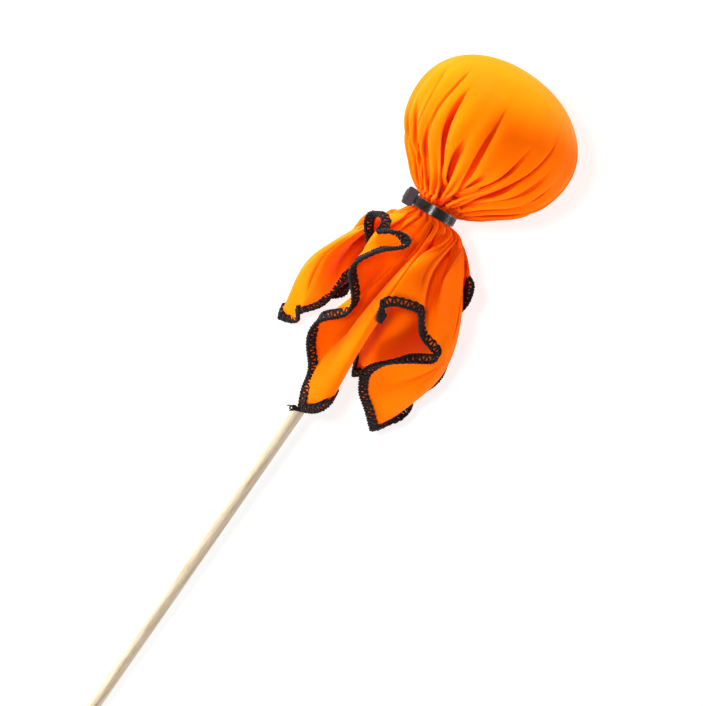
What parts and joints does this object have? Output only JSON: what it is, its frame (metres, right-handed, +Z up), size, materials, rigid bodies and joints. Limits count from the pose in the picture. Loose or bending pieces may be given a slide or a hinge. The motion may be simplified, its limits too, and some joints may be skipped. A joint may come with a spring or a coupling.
{
  "type": "devil stick",
  "caption": "Wooden dowel with a stuffed round cloth head tied on its end, the square cloth's overlocked edge hanging as a loose skirt.",
  "frame": {"origin": "middle of the object's box, at the height of the surface that it lies on", "axes": "+X horizontal, along the stick towards the stuffed head; +Z up; +Y to the left of someone who looks towards the head, the side of the tie's lock box"},
  "size_m": [0.5354, 0.0878, 0.0861],
  "materials": {
    "orange_cloth": "fine knit with a soft sheen",
    "black_thread": "overlock stitching",
    "pale_wood": "plain sanded",
    "white_filling": "loose fibre",
    "black_nylon_gloss": "glossy ribbed",
    "black_nylon_matte": "matte moulded"
  },
  "bodies": {
    "devil_stick": {"stick": "pale_wood", "stuffing": "white_filling", "cloth_head": "orange_cloth", "cloth_neck": "orange_cloth", "cloth_skirt": "orange_cloth", "hem_upper_looper": "black_thread", "hem_lower_looper": "black_thread", "hem_needle_thread": "black_thread", "tie_strap": "black_nylon_gloss", "tie_head": "black_nylon_matte"},
    "pawl": {"tie_pawl": "black_nylon_matte"}
  },
  "joints": [
    {"name": "pawl_swing", "type": "hinge", "parent": "devil_stick", "child": "pawl", "pos_m": [0.18662, 0.01338, 0.03445], "axis": [-0.9945, -0.0698, -0.0778], "range_deg": [0, 12], "stiffness_Nm_per_rad": 0.002}
  ]
}
